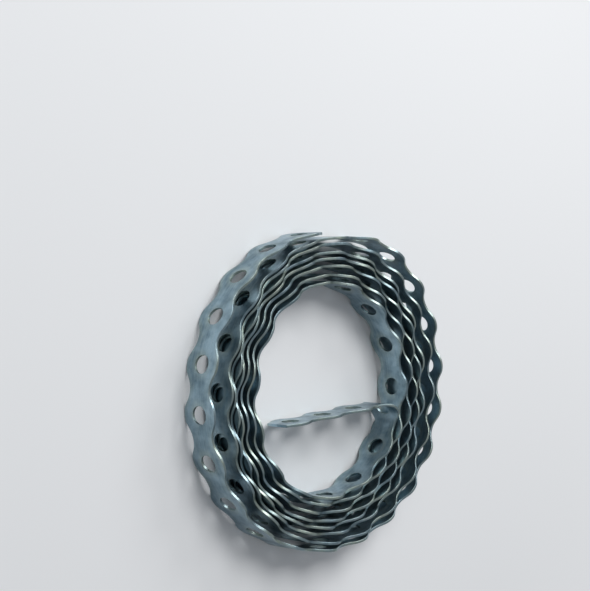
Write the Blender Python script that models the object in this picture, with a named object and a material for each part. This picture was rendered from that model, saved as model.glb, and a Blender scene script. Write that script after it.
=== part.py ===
"""Perforated steel strap wound into a loose coil that lies flat, as one solid.

The strap is drawn flat, one cell to each hole, and each of its points is then
carried along the centre line of the coil. The width of the strap stands along Z.
"""

from math import atan2, cos, hypot, pi, radians, sin, sqrt

import bmesh
import bpy

MM = 0.001
CORNERS = 8  # of the strap's outline round one hole, and of the hole

# Strap section and punching
STRAP_WIDTH = 12.0 * MM  # over the crests of both wavy edges
NECK_WIDTH = 7.6 * MM  # across the valleys, halfway between two holes
THICKNESS = 0.8 * MM
HOLE_PITCH = 14.0 * MM
HOLE_DIAMETER = 5.2 * MM
CREST_LENGTH = 3.4 * MM  # flat top of each wave, beside a hole
VALLEY_LENGTH = 2.8 * MM  # flat bottom of each wave, between two holes

# Coil: the turns run clockwise and outward, seen from above
START_ANGLE = radians(-38.0)
TURNS = 7.635
FIRST_RADIUS = 31.5 * MM
TURN_GAP = 1.31 * MM  # mean clear space between two turns of the bundle
FIRST_OVAL = 0.2 * MM  # half the first turn's extra radius along X over that along Y
FIRST_SHIFT = (-1.05 * MM, 0.05 * MM)  # centre of the first turn
BUNDLE_SHIFT = (2.6 * MM, -0.8 * MM)  # centre of the bundle's last turn
# Waves of the uneven winding: height in turn gaps, waves in one turn, phase at its start
STRAYS = (
    (0.29, 0.24, radians(196.0)),
    (0.31, 0.97, radians(36.0)),
    (0.15, 2.15, radians(45.0)),
)
SLACK = 1.6 * MM  # bulge of the bundle's last turn towards the outer one
SLACK_TURN = 0.78  # in turns before the bundle's end
SLACK_LENGTH = 0.32  # half length, in turns

# The outer turn has sprung clear of the bundle, from where its free end lies on it
SPRING_GAP = 2.42 * MM  # clear space between the bundle and the turn at its mean radius
SPRING_LENGTH = 0.10  # in turns
OUTER_OVAL = 1.5 * MM
SWELL = 1.5 * MM  # bulge just past the place where the turn leaves the bundle
SWELL_TURN = 0.12  # in turns past that place
SWELL_LENGTH = 0.14  # half length, in turns
END_TUCK = 0.6 * MM  # the free end leans in
END_TUCK_LENGTH = 0.09  # in turns

# Inner end: a bend turns the strap across the bore
BEND_RADIUS = 5.0 * MM
BEND_GAP = 0.5 * MM  # clear space between the bend and the next turn
TAIL_LENGTH = 43.8 * MM
TAIL_SLOPE = radians(3.0)

ROUTE_STEP = 0.5 * MM


def smooth_share(value):
    share = min(max(value, 0.0), 1.0)
    return share * share * (3.0 - 2.0 * share)


def bundle_point(turn, angle):
    """Centre line of the strap inside the bundle, after so many turns."""
    wound = turn / (TURNS - 1.0)
    radius = FIRST_RADIUS + (THICKNESS + TURN_GAP) * turn
    radius += FIRST_OVAL * (1.0 - wound) * cos(2.0 * angle)
    for height, waves, phase in STRAYS:
        radius += height * TURN_GAP * sin(2.0 * pi * waves * turn + phase)
    slack = min(abs(turn - (TURNS - 1.0 - SLACK_TURN)) / SLACK_LENGTH, 1.0)
    radius += SLACK * (1.0 + cos(pi * slack)) / 2.0
    late = wound ** 6
    shift_x = FIRST_SHIFT[0] * (1.0 - wound) + BUNDLE_SHIFT[0] * late
    shift_y = FIRST_SHIFT[1] * (1.0 - wound) + BUNDLE_SHIFT[1] * late
    return shift_x + radius * cos(angle), shift_y + radius * sin(angle)


def outer_point(turn, angle):
    """Centre line of the strap on the sprung outer turn."""
    left = turn - (TURNS - 1.0)
    swell = min(abs(left - SWELL_TURN) / SWELL_LENGTH, 1.0)
    tuck = (left - 1.0 + END_TUCK_LENGTH) / END_TUCK_LENGTH
    radius = FIRST_RADIUS + (THICKNESS + TURN_GAP) * (TURNS - 1.0)
    radius += THICKNESS + SPRING_GAP
    radius += OUTER_OVAL * cos(2.0 * angle) + SWELL * (1.0 + cos(pi * swell)) / 2.0
    radius -= END_TUCK * smooth_share(tuck)
    return radius * cos(angle), radius * sin(angle)


def spiral_point(turn):
    """Centre line of the strap after so many turns from the bend."""
    angle = START_ANGLE - 2.0 * pi * turn
    inner_x, inner_y = bundle_point(turn, angle)
    outer_x, outer_y = outer_point(turn, angle)
    sprung = smooth_share((turn - TURNS + 1.0) / SPRING_LENGTH)
    return (
        inner_x + sprung * (outer_x - inner_x),
        inner_y + sprung * (outer_y - inner_y),
    )


def clear_of_next_turn(x, y):
    """Whether a bend around this centre stays clear of the turn outside it."""
    reach = BEND_RADIUS + THICKNESS + BEND_GAP
    for step in range(60, 121):
        turn_x, turn_y = spiral_point(step / 100.0)
        if hypot(turn_x - x, turn_y - y) < reach:
            return False
    return True


def inner_end():
    """Points from the start of the first turn back to the free end inside the bore."""
    x, y = spiral_point(0.0)
    next_x, next_y = spiral_point(0.001)
    heading = atan2(y - next_y, x - next_x)
    points = [(x, y)]
    step = ROUTE_STEP / 10.0
    while True:
        x += step * cos(heading)
        y += step * sin(heading)
        centre_x = x - BEND_RADIUS * sin(heading)
        centre_y = y + BEND_RADIUS * cos(heading)
        if not clear_of_next_turn(centre_x, centre_y):
            break
        points.append((x, y))
    bend_angle = pi + TAIL_SLOPE - heading
    steps = int(BEND_RADIUS * bend_angle / ROUTE_STEP)
    for step in range(1, steps + 1):
        turned = heading + bend_angle * step / steps
        x = centre_x + BEND_RADIUS * sin(turned)
        y = centre_y - BEND_RADIUS * cos(turned)
        points.append((x, y))
    steps = int(TAIL_LENGTH / ROUTE_STEP)
    for step in range(1, steps + 1):
        run = TAIL_LENGTH * step / steps
        points.append((x - run * cos(TAIL_SLOPE), y - run * sin(TAIL_SLOPE)))
    return points


def centre_line():
    """Points of the whole route, from the inner end to the outer one."""
    points = inner_end()[::-1]
    steps = int(TURNS * 2.0 * pi * FIRST_RADIUS * 1.3 / ROUTE_STEP)
    for step in range(1, steps + 1):
        points.append(spiral_point(TURNS * step / steps))
    return points


def with_lengths(points):
    """Each point with its distance along the route."""
    total = 0.0
    measured = [(0.0, points[0])]
    for before, after in zip(points, points[1:]):
        total += hypot(after[0] - before[0], after[1] - before[1])
        measured.append((total, after))
    return measured


def find_on_route(measured, length):
    """Position and unit direction at a distance along the route."""
    low, high = 0, len(measured) - 1
    while high - low > 1:
        middle = (low + high) // 2
        if measured[middle][0] <= length:
            low = middle
        else:
            high = middle
    start, (x0, y0) = measured[low]
    end, (x1, y1) = measured[high]
    share = (length - start) / (end - start)
    run = end - start
    direction = ((x1 - x0) / run, (y1 - y0) / run)
    return (x0 + share * (x1 - x0), y0 + share * (y1 - y0)), direction


def outline_of_cell():
    """Eight corners of the strap around one hole: distance along, height from the middle."""
    crest, end = CREST_LENGTH / 2.0, (HOLE_PITCH - VALLEY_LENGTH) / 2.0
    lower = [(-end, -NECK_WIDTH / 2.0), (-crest, -STRAP_WIDTH / 2.0)]
    lower += [(crest, -STRAP_WIDTH / 2.0), (end, -NECK_WIDTH / 2.0)]
    upper = [(along, -height) for along, height in reversed(lower)]
    return lower + upper


def outline_of_hole():
    """Corners of a polygon with the area of the round hole, each facing one of the cell."""
    area_share = pi / (CORNERS / 2.0 * sin(2.0 * pi / CORNERS))
    radius = HOLE_DIAMETER / 2.0 * sqrt(area_share)
    first = pi + pi / CORNERS
    angles = [first + 2.0 * pi * side / CORNERS for side in range(CORNERS)]
    return [(radius * cos(angle), radius * sin(angle)) for angle in angles]


def placed(mesh, measured, corner, middle, side):
    """Carries one flat corner onto the coil, on the strap's left (1) or right (-1) face."""
    along, height = corner
    (x, y), (dx, dy) = find_on_route(measured, middle + along)
    offset = side * THICKNESS / 2.0
    return mesh.verts.new((x - dy * offset, y + dx * offset, STRAP_WIDTH / 2.0 + height))


def add_cell(mesh, measured, middle):
    """Steel around one hole. Returns the corners of its outline on both faces."""
    rings = []
    for side in (1, -1):
        outer = [placed(mesh, measured, c, middle, side) for c in outline_of_cell()]
        inner = [placed(mesh, measured, c, middle, side) for c in outline_of_hole()]
        for k in range(CORNERS):
            after = (k + 1) % CORNERS
            mesh.faces.new((outer[k], outer[after], inner[after], inner[k]))
        rings.append((outer, inner))
    (left, left_hole), (right, right_hole) = rings
    for k in range(CORNERS):
        after = (k + 1) % CORNERS
        mesh.faces.new((left_hole[k], left_hole[after], right_hole[after], right_hole[k]))
    for k in (0, 1, 2, 4, 5, 6):
        mesh.faces.new((left[k], left[k + 1], right[k + 1], right[k]))
    return left, right


def add_neck(mesh, before, after):
    """Joins the far side of one cell to the near side of the next."""
    start = [before[0][3], before[0][4], before[1][4], before[1][3]]
    end = [after[0][0], after[0][7], after[1][7], after[1][0]]
    for k in range(4):
        far = (k + 1) % 4
        mesh.faces.new((start[k], start[far], end[far], end[k]))


def build_strap():
    measured = with_lengths(centre_line())
    first = (HOLE_PITCH - VALLEY_LENGTH) / 2.0
    count = int((measured[-1][0] - 2.0 * first) / HOLE_PITCH) + 1
    mesh = bmesh.new()
    cells = []
    for index in range(count):
        cells.append(add_cell(mesh, measured, first + index * HOLE_PITCH))
        if index:
            add_neck(mesh, cells[-2], cells[-1])
    left, right = cells[0]
    mesh.faces.new((left[0], left[7], right[7], right[0]))
    left, right = cells[-1]
    mesh.faces.new((left[3], left[4], right[4], right[3]))
    centre(mesh)
    bmesh.ops.recalc_face_normals(mesh, faces=mesh.faces)
    return mesh


def centre(mesh):
    """Moves the coil so that the middle of its outline is over the origin."""
    for axis in (0, 1):
        values = [vert.co[axis] for vert in mesh.verts]
        middle = (min(values) + max(values)) / 2.0
        for vert in mesh.verts:
            vert.co[axis] -= middle


def galvanized_steel():
    material = bpy.data.materials.new("galvanized_steel")
    material.use_nodes = True
    shader = material.node_tree.nodes["Principled BSDF"]
    shader.inputs["Base Color"].default_value = (0.28, 0.30, 0.30, 1.0)
    shader.inputs["Metallic"].default_value = 1.0
    shader.inputs["Roughness"].default_value = 0.38
    return material


def main():
    for thing in list(bpy.data.objects):
        bpy.data.objects.remove(thing)
    data = bpy.data.meshes.new("strap")
    mesh = build_strap()
    mesh.to_mesh(data)
    mesh.free()
    data.materials.append(galvanized_steel())
    bpy.context.scene.collection.objects.link(bpy.data.objects.new("strap", data))


main()
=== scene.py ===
"""Dresses the coiled strap: rounded wavy edges, punched holes, zinc, light and camera."""

from bisect import bisect_right
from math import atan2, cos, hypot, pi, radians, sin

import bpy
from mathutils import Matrix, Vector


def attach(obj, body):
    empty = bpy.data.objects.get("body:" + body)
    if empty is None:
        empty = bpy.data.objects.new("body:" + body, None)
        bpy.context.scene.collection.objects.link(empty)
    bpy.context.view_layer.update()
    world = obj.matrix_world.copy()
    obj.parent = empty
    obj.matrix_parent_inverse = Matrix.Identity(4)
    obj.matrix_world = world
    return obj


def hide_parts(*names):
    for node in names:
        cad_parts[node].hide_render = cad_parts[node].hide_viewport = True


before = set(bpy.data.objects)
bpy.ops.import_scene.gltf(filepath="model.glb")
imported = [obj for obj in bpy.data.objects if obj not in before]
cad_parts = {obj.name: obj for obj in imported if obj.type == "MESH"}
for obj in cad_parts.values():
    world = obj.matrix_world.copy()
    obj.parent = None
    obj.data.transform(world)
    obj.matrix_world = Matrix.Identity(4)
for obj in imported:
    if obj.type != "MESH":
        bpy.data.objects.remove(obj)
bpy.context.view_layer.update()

MM = 0.001

# Strap section and punching, as in the part's source
STRAP_WIDTH = 12.0 * MM
NECK_WIDTH = 7.6 * MM
THICKNESS = 0.8 * MM
HOLE_PITCH = 14.0 * MM
HOLE_DIAMETER = 5.2 * MM
VALLEY_LENGTH = 2.8 * MM
END_LENGTH = (HOLE_PITCH - VALLEY_LENGTH) / 2.0

# Coil, as in the part's source
START_ANGLE = radians(-38.0)
TURNS = 7.635
FIRST_RADIUS = 31.5 * MM
TURN_GAP = 1.31 * MM  # mean clear space between two turns of the bundle
FIRST_OVAL = 0.2 * MM  # half the first turn's extra radius along X over that along Y
FIRST_SHIFT = (-1.05 * MM, 0.05 * MM)  # centre of the first turn
BUNDLE_SHIFT = (2.6 * MM, -0.8 * MM)  # centre of the bundle's last turn
# Waves of the uneven winding: height in turn gaps, waves in one turn, phase at its start
STRAYS = (
    (0.29, 0.24, radians(196.0)),
    (0.31, 0.97, radians(36.0)),
    (0.15, 2.15, radians(45.0)),
)
SLACK = 1.6 * MM  # bulge of the bundle's last turn towards the outer one
SLACK_TURN = 0.78  # in turns before the bundle's end
SLACK_LENGTH = 0.32  # half length, in turns

# The outer turn has sprung clear of the bundle, from where its free end lies on it
SPRING_GAP = 2.42 * MM  # clear space between the bundle and the turn at its mean radius
SPRING_LENGTH = 0.10  # in turns
OUTER_OVAL = 1.5 * MM
SWELL = 1.5 * MM  # bulge just past the place where the turn leaves the bundle
SWELL_TURN = 0.12  # in turns past that place
SWELL_LENGTH = 0.14  # half length, in turns
END_TUCK = 0.6 * MM  # the free end leans in
END_TUCK_LENGTH = 0.09  # in turns

# Inner end: a bend turns the strap across the bore
BEND_RADIUS = 5.0 * MM
BEND_GAP = 0.5 * MM  # clear space between the bend and the next turn
TAIL_LENGTH = 43.8 * MM
TAIL_SLOPE = radians(3.0)
BEND_CHECKS = range(60, 121)  # hundredths of a turn that the bend may come close to

WALK_STEP = 0.05 * MM
ROUTE_STEP = 0.25 * MM
MEAN_TURN = 1.3  # radius of a mean turn over that of the first
HEADING_SPAN = 2  # steps on each side that a direction is taken over
ROUTE_PLACE = (0.0069 * MM, 0.3693 * MM)  # of the route's origin in the row frame

# Finer form of the strap
FLAT_CREST = 0.45  # how far the edge's wave leans from a plain one to a flat-topped one
SLOPE_STEP = 0.01 * MM
EDGE_ROUND = 0.14 * MM  # radius where the wavy edge meets a face
HOLE_ROUND = 0.10 * MM  # bevel round the rim of a hole
KINK = 0.05 * MM  # the strap gives a little more at each hole than between holes
LIFT = 0.20 * MM  # how far a turn may ride above the lowest
LIFT_WAVES = ((61.0 * MM, 0.0), (23.7 * MM, 1.3))  # length to a radian, phase
ALONG = 16  # segments of one wave
ACROSS = 4  # segments across a neck
FACE_STEPS = 3  # segments of a face from the hole to where the edge turns round
ROUND_STEPS = 2

# Zinc
BODY_DARK = (0.14, 0.22, 0.27)
BODY_PALE = (0.31, 0.435, 0.51)
STREAK = (0.40, 0.505, 0.545)
EDGE_PALE = (0.44, 0.51, 0.44)
STREAK_SCALE = (90.0, 1500.0, 400.0)  # to a metre: along the strap, up it and through it
STREAK_SHARE = 0.32
BLOTCH_SCALE = 0.16  # to a millimetre, as the next two are
GRAIN_SCALE = 1.7
RUBBED_SCALE = 0.09
SMOOTH, DULL = 0.24, 0.42  # roughness of the palest and of the darkest blotches
GRAIN_ROUGH = 0.08
RELIEF = 0.02 * MM
RELIEF_STRENGTH = 0.12

# Floor
FLOOR_COLOUR = (0.86, 0.87, 0.88)
FAR_COLOUR = (0.82, 0.83, 0.85)  # about what the lit floor shows
FLOOR_HALF = 3.0
FLOOR_NEAR = 0.10  # within this distance the floor is only lit
FLOOR_FAR = 0.40  # past this distance it is even

# Light
ROOM_COLOUR = (0.92, 0.95, 1.0)
ROOM_LIGHT = 0.32
LAMPS = (  # name, place, size and power of each, which faces the coil
    ("key", (0.02, 0.54, 0.66), (0.6, 0.45), 4.5),
    ("window", (0.55, 0.64, 0.38), (0.35, 0.3), 2.4),
)

# Camera, fitted to the strap's holes and edges in the photo
CAMERA_YAW = radians(46.558)
CAMERA_PITCH = radians(1.797)
CAMERA_ROLL = radians(0.845)
CAMERA_SHIFT = (0.41374, -1.83020, -31.25759)  # of the route in the camera's view, in pitches
CAMERA_ORIGIN = (0.236, 0.155, -0.052)  # in pitches from the route's origin
LENS_PIXELS = 1441.84
PHOTO_HEIGHT = 591.0  # in pixels
SENSOR = 36.0  # Blender's own, in millimetres


def smooth_share(value):
    share = min(max(value, 0.0), 1.0)
    return share * share * (3.0 - 2.0 * share)


def bundle_point(turn, angle):
    """Centre line of the strap inside the bundle, after so many turns."""
    wound = turn / (TURNS - 1.0)
    radius = FIRST_RADIUS + (THICKNESS + TURN_GAP) * turn
    radius += FIRST_OVAL * (1.0 - wound) * cos(2.0 * angle)
    for height, waves, phase in STRAYS:
        radius += height * TURN_GAP * sin(2.0 * pi * waves * turn + phase)
    slack = min(abs(turn - (TURNS - 1.0 - SLACK_TURN)) / SLACK_LENGTH, 1.0)
    radius += SLACK * (1.0 + cos(pi * slack)) / 2.0
    late = wound ** 6
    shift_x = FIRST_SHIFT[0] * (1.0 - wound) + BUNDLE_SHIFT[0] * late
    shift_y = FIRST_SHIFT[1] * (1.0 - wound) + BUNDLE_SHIFT[1] * late
    return shift_x + radius * cos(angle), shift_y + radius * sin(angle)


def outer_point(turn, angle):
    """Centre line of the strap on the sprung outer turn."""
    left = turn - (TURNS - 1.0)
    swell = min(abs(left - SWELL_TURN) / SWELL_LENGTH, 1.0)
    tuck = (left - 1.0 + END_TUCK_LENGTH) / END_TUCK_LENGTH
    radius = FIRST_RADIUS + (THICKNESS + TURN_GAP) * (TURNS - 1.0)
    radius += THICKNESS + SPRING_GAP
    radius += OUTER_OVAL * cos(2.0 * angle) + SWELL * (1.0 + cos(pi * swell)) / 2.0
    radius -= END_TUCK * smooth_share(tuck)
    return radius * cos(angle), radius * sin(angle)


def spiral_point(turn):
    """Centre line of the strap after so many turns from the bend."""
    angle = START_ANGLE - 2.0 * pi * turn
    inner_x, inner_y = bundle_point(turn, angle)
    outer_x, outer_y = outer_point(turn, angle)
    sprung = smooth_share((turn - TURNS + 1.0) / SPRING_LENGTH)
    return (
        inner_x + sprung * (outer_x - inner_x),
        inner_y + sprung * (outer_y - inner_y),
    )


def clear_of_next_turn(x, y):
    """Whether a bend around this centre stays clear of the turn outside it."""
    reach = BEND_RADIUS + THICKNESS + BEND_GAP
    for step in BEND_CHECKS:
        turn_x, turn_y = spiral_point(step / 100.0)
        if hypot(turn_x - x, turn_y - y) < reach:
            return False
    return True


def inner_end():
    """Points from the start of the first turn back to the free end inside the bore."""
    x, y = spiral_point(0.0)
    next_x, next_y = spiral_point(0.001)
    heading = atan2(y - next_y, x - next_x)
    points = [(x, y)]
    while True:
        x += WALK_STEP * cos(heading)
        y += WALK_STEP * sin(heading)
        centre_x = x - BEND_RADIUS * sin(heading)
        centre_y = y + BEND_RADIUS * cos(heading)
        if not clear_of_next_turn(centre_x, centre_y):
            break
        points.append((x, y))
    bend_angle = pi + TAIL_SLOPE - heading
    steps = int(BEND_RADIUS * bend_angle / ROUTE_STEP)
    for step in range(1, steps + 1):
        turned = heading + bend_angle * step / steps
        x = centre_x + BEND_RADIUS * sin(turned)
        y = centre_y - BEND_RADIUS * cos(turned)
        points.append((x, y))
    steps = int(TAIL_LENGTH / ROUTE_STEP)
    for step in range(1, steps + 1):
        run = TAIL_LENGTH * step / steps
        points.append((x - run * cos(TAIL_SLOPE), y - run * sin(TAIL_SLOPE)))
    return points


class Route:
    """The strap's centre line, measured from its inner end."""

    def __init__(self):
        self.points = inner_end()[::-1]
        steps = int(TURNS * 2.0 * pi * FIRST_RADIUS * MEAN_TURN / ROUTE_STEP)
        for step in range(1, steps + 1):
            self.points.append(spiral_point(TURNS * step / steps))
        self.lengths = [0.0]
        for before, after in zip(self.points, self.points[1:]):
            run = hypot(after[0] - before[0], after[1] - before[1])
            self.lengths.append(self.lengths[-1] + run)
        count = len(self.points)
        self.headings = []
        for index in range(count):
            x0, y0 = self.points[max(index - HEADING_SPAN, 0)]
            x1, y1 = self.points[min(index + HEADING_SPAN, count - 1)]
            run = hypot(x1 - x0, y1 - y0)
            self.headings.append(((x1 - x0) / run, (y1 - y0) / run))

    def at(self, length):
        """Position and unit direction at a distance along the route."""
        low = bisect_right(self.lengths, length) - 1
        low = min(max(low, 0), len(self.points) - 2)
        start, end = self.lengths[low], self.lengths[low + 1]
        share = (length - start) / (end - start)
        (x0, y0), (x1, y1) = self.points[low], self.points[low + 1]
        (u0, v0), (u1, v1) = self.headings[low], self.headings[low + 1]
        u, v = u0 + share * (u1 - u0), v0 + share * (v1 - v0)
        size = hypot(u, v)
        return (x0 + share * (x1 - x0), y0 + share * (y1 - y0)), (u / size, v / size)


def edge_height(along):
    """Half width of the strap at a distance from the middle of a hole."""
    wave = (1.0 + cos(2.0 * pi * along / HOLE_PITCH)) / 2.0
    share = (1.0 - FLAT_CREST) * wave + FLAT_CREST * smooth_share(wave)
    return (NECK_WIDTH + (STRAP_WIDTH - NECK_WIDTH) * share) / 2.0


def edge_normal(along):
    """Outward direction of the upper wavy edge, in the strap's own plane."""
    rise = edge_height(along + SLOPE_STEP) - edge_height(along - SLOPE_STEP)
    slope = rise / (2.0 * SLOPE_STEP)
    size = hypot(slope, 1.0)
    return -slope / size, 1.0 / size


def outline(near, far):
    """Points round one cell, from its near lower corner: place and outward direction.

    A point with no direction lies on the line where two cells meet or the strap is cut.
    """
    lower = []
    for step in range(ALONG + 1):
        along = -near + (near + far) * step / ALONG
        u, v = edge_normal(along) if 0 < step < ALONG else (0.0, 1.0)
        lower.append((along, -edge_height(along), (u, -v)))
    upper = [(along, -height, (u, -v)) for along, height, (u, v) in reversed(lower)]
    right, left = [], []
    for step in range(1, ACROSS):
        share = 2.0 * step / ACROSS - 1.0
        right.append((far, share * (edge_height(far) - EDGE_ROUND), None))
        left.append((-near, -share * (edge_height(near) - EDGE_ROUND), None))
    return lower + right + upper + left


def column(place, angle, side):
    """Points of one face from the hole's wall to the wavy edge.

    Each is a place, a normal and how much of the edge finish it has. Places and normals
    run along the strap, up its width and out of its left face.
    """
    along, height, outward = place
    out_u, out_v = cos(angle), sin(angle)
    half = THICKNESS / 2.0
    radius = HOLE_DIAMETER / 2.0
    rim = radius + HOLE_ROUND
    wall = (radius * out_u, radius * out_v, side * (half - HOLE_ROUND))
    found = [(wall, (-out_u, -out_v, 0.0), 1.0)]
    found.append(((rim * out_u, rim * out_v, side * half), (0.0, 0.0, side), 0.5))
    if outward:
        along -= EDGE_ROUND * outward[0]
        height -= EDGE_ROUND * outward[1]
    middle = ((rim * out_u + along) / 2.0, (rim * out_v + height) / 2.0, side * half)
    found.append((middle, (0.0, 0.0, side), 0.0))
    found.append(((along, height, side * half), (0.0, 0.0, side), 0.5 if outward else 0.0))
    if outward:
        u, v = outward
        for step in range(1, ROUND_STEPS + 1):
            turned = pi / 2.0 * step / ROUND_STEPS
            reach = EDGE_ROUND * sin(turned)
            depth = side * (half - EDGE_ROUND * (1.0 - cos(turned)))
            normal = (u * sin(turned), v * sin(turned), side * cos(turned))
            found.append(((along + reach * u, height + reach * v, depth), normal, 1.0))
    return found


class StrapMesh:
    """The strap's mesh: points are shared between cells, normals belong to corners."""

    def __init__(self, route):
        self.route = route
        self.known = {}
        self.points = []
        self.places = []
        self.finish = []
        self.faces = []
        self.normals = []

    def point(self, middle, place, finish):
        """Index of a point of the flat strap, carried onto the coil when it is new."""
        along, height, offset = place
        length = middle + along
        key = tuple(round(value / MM * 1000) for value in (length, height, offset))
        if key not in self.known:
            self.known[key] = len(self.points)
            (x, y), (u, v) = self.route.at(length)
            offset += KINK * cos(2.0 * pi * (length - END_LENGTH) / HOLE_PITCH)
            lift = STRAP_WIDTH / 2.0 + lift_at(length)
            self.points.append(
                (x - v * offset + ROUTE_PLACE[0], y + u * offset + ROUTE_PLACE[1], lift + height)
            )
            self.places.append((length, height, place[2]))
            self.finish.append(finish)
        return self.known[key]

    def normal(self, middle, place, normal):
        """A normal of the flat strap, turned to its place on the coil."""
        _, (u, v) = self.route.at(middle + place[0])
        along, up, out = normal
        return (along * u - out * v, along * v + out * u, up)

    def add_face(self, middle, corners, normal=None):
        indices = []
        for place, own_normal, finish in corners:
            indices.append(self.point(middle, place, finish))
            self.normals.append(self.normal(middle, place, normal or own_normal))
        self.faces.append(indices)

    def add_cell(self, middle, near, far, cut=None):
        """Steel around one hole, and the strap's cut end if it has one here."""
        ring = outline(near, far)
        count = len(ring)
        sides = []
        for side in (1, -1):
            angles = [-pi / 2.0 + 2.0 * pi * (k - ALONG / 2.0) / count for k in range(count)]
            sides.append([column(ring[k], angles[k], side) for k in range(count)])
        left, right = sides
        for k in range(count):
            after = (k + 1) % count
            wavy = ring[k][2] and ring[after][2]
            steps = FACE_STEPS + ROUND_STEPS if wavy else FACE_STEPS
            for face, flip in ((left, False), (right, True)):
                for step in range(steps):
                    corners = [face[k][step], face[after][step]]
                    corners += [face[after][step + 1], face[k][step + 1]]
                    self.add_face(middle, corners[::-1] if flip else corners)
            hole = [left[k][0], right[k][0], right[after][0], left[after][0]]
            self.add_face(middle, hole)
            if wavy:
                edge = [left[k][-1], left[after][-1], right[after][-1], right[k][-1]]
                self.add_face(middle, edge)
        if cut:
            self.add_cut(middle, left, right, cut)

    def add_cut(self, middle, left, right, cut):
        """Closes the strap where it is cut: at its start (-1) or its end (1)."""
        if cut > 0:
            line = list(range(ALONG, ALONG + ACROSS + 1))
        else:
            line = list(range(2 * ALONG + ACROSS, len(left))) + [0]
        flat = FACE_STEPS
        outward = (float(cut), 0.0, 0.0)
        for k, after in zip(line, line[1:]):
            corners = [left[k][flat], left[after][flat], right[after][flat], right[k][flat]]
            self.add_face(middle, corners, outward)
        for k in (line[0], line[-1]):
            rounded = left[k][flat:] + right[k][flat:][::-1]
            if k == line[0]:
                rounded = rounded[::-1]
            self.add_face(middle, rounded, outward)


def lift_at(length):
    """How far the strap rides above the floor at a distance along its route."""
    wander = sum(sin(length / run + phase) for run, phase in LIFT_WAVES)
    return LIFT * (0.5 + 0.25 * wander)


def build_strap():
    route = Route()
    strap = StrapMesh(route)
    count = int((route.lengths[-1] - 2.0 * END_LENGTH) / HOLE_PITCH) + 1
    half = HOLE_PITCH / 2.0
    for index in range(count):
        middle = END_LENGTH + index * HOLE_PITCH
        if index == 0:
            strap.add_cell(middle, END_LENGTH, half, -1)
        elif index == count - 1:
            strap.add_cell(middle, half, END_LENGTH, 1)
        else:
            strap.add_cell(middle, half, half)
    return add_piece(strap)


def add_piece(strap):
    """The visible strap, with its corner normals and what its finish is worked out from."""
    data = bpy.data.meshes.new("strap_wound")
    data.from_pydata(strap.points, [], strap.faces)
    data.polygons.foreach_set("use_smooth", [True] * len(data.polygons))
    data.update()
    place = data.attributes.new("strap_place", "FLOAT_VECTOR", "POINT")
    place.data.foreach_set("vector", [value for point in strap.places for value in point])
    finish = data.attributes.new("edge_finish", "FLOAT", "POINT")
    finish.data.foreach_set("value", strap.finish)
    data.normals_split_custom_set(strap.normals)
    piece = bpy.data.objects.new("strap_wound", data)
    bpy.context.scene.collection.objects.link(piece)
    return piece


class Nodes:
    """A new material's shader tree, with short calls for the nodes used here."""

    def __init__(self, name):
        self.material = bpy.data.materials.new(name)
        self.material.use_nodes = True
        self.tree = self.material.node_tree
        self.shader = self.tree.nodes["Principled BSDF"]

    def add(self, kind, **values):
        node = self.tree.nodes.new(kind)
        for name, value in values.items():
            setattr(node, name, value)
        return node

    def link(self, source, target):
        self.tree.links.new(source, target)

    def attribute(self, name):
        return self.add("ShaderNodeAttribute", attribute_name=name)

    def scaled(self, vector, scale):
        node = self.add("ShaderNodeVectorMath", operation="MULTIPLY")
        node.inputs[1].default_value = scale
        self.link(vector, node.inputs[0])
        return node.outputs["Vector"]

    def noise(self, vector, scale, detail, roughness=0.5):
        node = self.add("ShaderNodeTexNoise")
        node.inputs["Scale"].default_value = scale
        node.inputs["Detail"].default_value = detail
        node.inputs["Roughness"].default_value = roughness
        self.link(vector, node.inputs["Vector"])
        return node.outputs["Fac"]

    def spread(self, value, low, high, to_low=0.0, to_high=1.0, curve="LINEAR"):
        """The value, with low to high carried to the other two and held beyond them."""
        node = self.add("ShaderNodeMapRange", interpolation_type=curve)
        node.inputs["From Min"].default_value = low
        node.inputs["From Max"].default_value = high
        node.inputs["To Min"].default_value = to_low
        node.inputs["To Max"].default_value = to_high
        self.link(value, node.inputs["Value"])
        return node.outputs["Result"]

    def mix(self, factor, first, second):
        node = self.add("ShaderNodeMix", data_type="RGBA")
        self.link(factor, node.inputs["Factor"])
        for name, colour in (("A", first), ("B", second)):
            socket = [s for s in node.inputs if s.name == name and s.type == "RGBA"][0]
            if isinstance(colour, tuple):
                socket.default_value = colour + (1.0,)
            else:
                self.link(colour, socket)
        return [s for s in node.outputs if s.type == "RGBA"][0]

    def combine(self, operation, first, second):
        node = self.add("ShaderNodeMath", operation=operation)
        self.link(first, node.inputs[0])
        self.link(second, node.inputs[1])
        return node.outputs["Value"]


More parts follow.
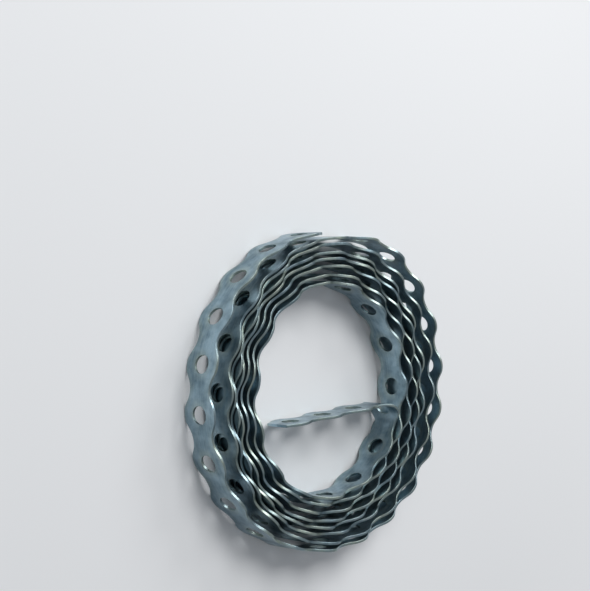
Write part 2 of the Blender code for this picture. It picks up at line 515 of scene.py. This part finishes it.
def zinc():
    """Dull hot-dip zinc with drawn streaks, blotches and brighter rubbed edges."""
    nodes = Nodes("galvanized_steel")
    place = nodes.attribute("strap_place").outputs["Vector"]
    edge = nodes.attribute("edge_finish").outputs["Fac"]
    even = nodes.scaled(place, (1.0 / MM, 1.0 / MM, 1.0 / MM))
    streaks = nodes.noise(nodes.scaled(place, STREAK_SCALE), 1.0, 3.0)
    blotches = nodes.noise(even, BLOTCH_SCALE, 4.0, 0.6)
    grain = nodes.noise(even, GRAIN_SCALE, 3.0, 0.6)
    rubbed = nodes.noise(even, RUBBED_SCALE, 2.0)

    body = nodes.mix(nodes.spread(blotches, 0.38, 0.64), BODY_DARK, BODY_PALE)
    drawn = nodes.spread(streaks, 0.42, 0.70, 0.0, STREAK_SHARE)
    body = nodes.mix(drawn, body, STREAK)
    worn = nodes.combine("MULTIPLY", edge, nodes.spread(grain, 0.30, 0.62, 0.55, 1.0))
    worn = nodes.combine("MULTIPLY", worn, nodes.spread(rubbed, 0.38, 0.62, 0.20, 1.0))
    nodes.link(nodes.mix(worn, body, EDGE_PALE), nodes.shader.inputs["Base Color"])

    dull = nodes.spread(blotches, 0.3, 0.7, DULL, SMOOTH)
    rough = nodes.combine("ADD", dull, nodes.spread(grain, 0.3, 0.7, 0.0, GRAIN_ROUGH))
    nodes.link(rough, nodes.shader.inputs["Roughness"])
    nodes.shader.inputs["Metallic"].default_value = 1.0

    bump = nodes.add("ShaderNodeBump")
    bump.inputs["Strength"].default_value = RELIEF_STRENGTH
    bump.inputs["Distance"].default_value = RELIEF
    nodes.link(nodes.combine("ADD", streaks, grain), bump.inputs["Height"])
    nodes.link(bump.outputs["Normal"], nodes.shader.inputs["Normal"])
    return nodes.material


def floor_material():
    """Takes the strap's light and shadow near it, and fades to an even pale tone."""
    nodes = Nodes("pale_floor")
    nodes.shader.inputs["Base Color"].default_value = FLOOR_COLOUR + (1.0,)
    nodes.shader.inputs["Roughness"].default_value = 0.9
    nodes.shader.inputs["Specular IOR Level"].default_value = 0.1

    distance = nodes.add("ShaderNodeVectorMath", operation="LENGTH")
    nodes.link(nodes.add("ShaderNodeNewGeometry").outputs["Position"], distance.inputs[0])
    far = nodes.spread(distance.outputs["Value"], FLOOR_NEAR, FLOOR_FAR, curve="SMOOTHSTEP")
    rays = nodes.add("ShaderNodeLightPath").outputs
    seen = nodes.combine("MAXIMUM", rays["Is Camera Ray"], rays["Is Glossy Ray"])
    seen = nodes.combine("MAXIMUM", seen, rays["Is Transmission Ray"])

    even = nodes.add("ShaderNodeEmission")
    even.inputs["Color"].default_value = FAR_COLOUR + (1.0,)
    blend = nodes.add("ShaderNodeMixShader")
    nodes.link(nodes.combine("MULTIPLY", far, seen), blend.inputs["Fac"])
    nodes.link(nodes.shader.outputs["BSDF"], blend.inputs[1])
    nodes.link(even.outputs["Emission"], blend.inputs[2])
    nodes.link(blend.outputs["Shader"], nodes.tree.nodes["Material Output"].inputs["Surface"])
    return nodes.material


def build_floor():
    data = bpy.data.meshes.new("floor")
    half = FLOOR_HALF
    corners = [(-half, -half, 0.0), (half, -half, 0.0), (half, half, 0.0), (-half, half, 0.0)]
    data.from_pydata(corners, [], [(0, 1, 2, 3)])
    data.materials.append(floor_material())
    floor = bpy.data.objects.new("floor", data)
    bpy.context.scene.collection.objects.link(floor)


def light_scene():
    world = bpy.data.worlds.new("pale_room")
    world.use_nodes = True
    background = world.node_tree.nodes["Background"]
    background.inputs["Color"].default_value = ROOM_COLOUR + (1.0,)
    background.inputs["Strength"].default_value = ROOM_LIGHT
    bpy.context.scene.world = world
    for name, place, size, power in LAMPS:
        lamp = bpy.data.lights.new(name, "AREA")
        lamp.shape = "RECTANGLE"
        lamp.size, lamp.size_y = size
        lamp.energy = power
        light = bpy.data.objects.new(name, lamp)
        light.location = place
        light.rotation_euler = (-Vector(place)).to_track_quat("-Z", "Y").to_euler()
        bpy.context.scene.collection.objects.link(light)


def place_camera():
    """The photo's view: the route is turned and shifted in front of the camera."""
    yaw = Matrix.Rotation(CAMERA_YAW, 3, "Y")
    pitch = Matrix.Rotation(CAMERA_PITCH, 3, "X")
    roll = Matrix.Rotation(CAMERA_ROLL, 3, "Z")
    turn = roll @ pitch @ yaw
    own_place = turn.transposed() @ -(Vector(CAMERA_SHIFT) * HOLE_PITCH)
    origin = Vector(CAMERA_ORIGIN) * HOLE_PITCH + Vector((*ROUTE_PLACE, 0.0))
    lens = bpy.data.cameras.new("camera")
    lens.lens = SENSOR * LENS_PIXELS / PHOTO_HEIGHT
    lens.clip_start = 0.01
    lens.clip_end = 20.0
    camera = bpy.data.objects.new("camera", lens)
    camera.matrix_world = Matrix.Translation(own_place + origin) @ turn.transposed().to_4x4()
    bpy.context.scene.collection.objects.link(camera)
    bpy.context.scene.camera = camera


def main():
    strap = build_strap()
    strap.data.materials.append(zinc())
    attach(strap, "root")
    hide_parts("strap")
    build_floor()
    light_scene()
    place_camera()
    bpy.context.scene.view_settings.view_transform = "Standard"


main()
